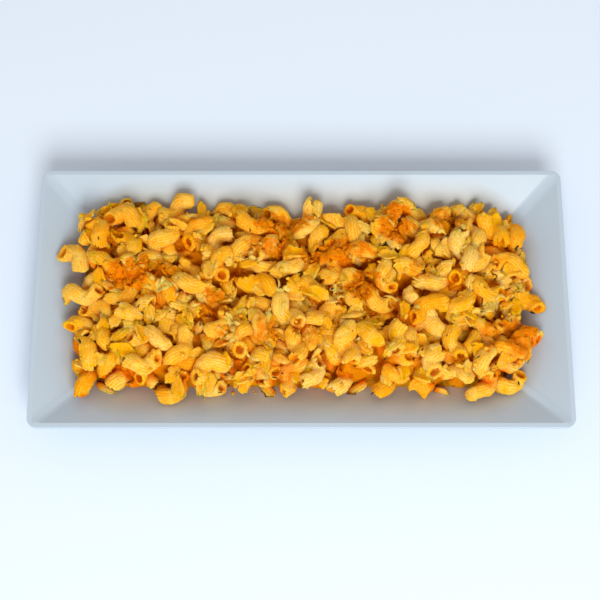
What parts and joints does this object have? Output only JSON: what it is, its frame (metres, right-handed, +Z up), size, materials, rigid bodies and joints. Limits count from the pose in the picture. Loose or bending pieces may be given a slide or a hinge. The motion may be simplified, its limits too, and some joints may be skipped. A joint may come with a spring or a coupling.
{
  "type": "mac and cheese",
  "caption": "Baked corkscrew macaroni cheese heaped in a long white porcelain dish with sloping walls.",
  "frame": {"origin": "centre of the dish's foot ring, on the table", "axes": "+X along the dish's length, +Z up"},
  "size_m": [0.305, 0.155, 0.0414],
  "materials": {
    "porcelain": "gloss white glaze",
    "macaroni_cheese": "baked cheese sauce, satin"
  },
  "bodies": {
    "root": {"dish": "porcelain", "macaroni_heap": "macaroni_cheese"}
  },
  "joints": []
}
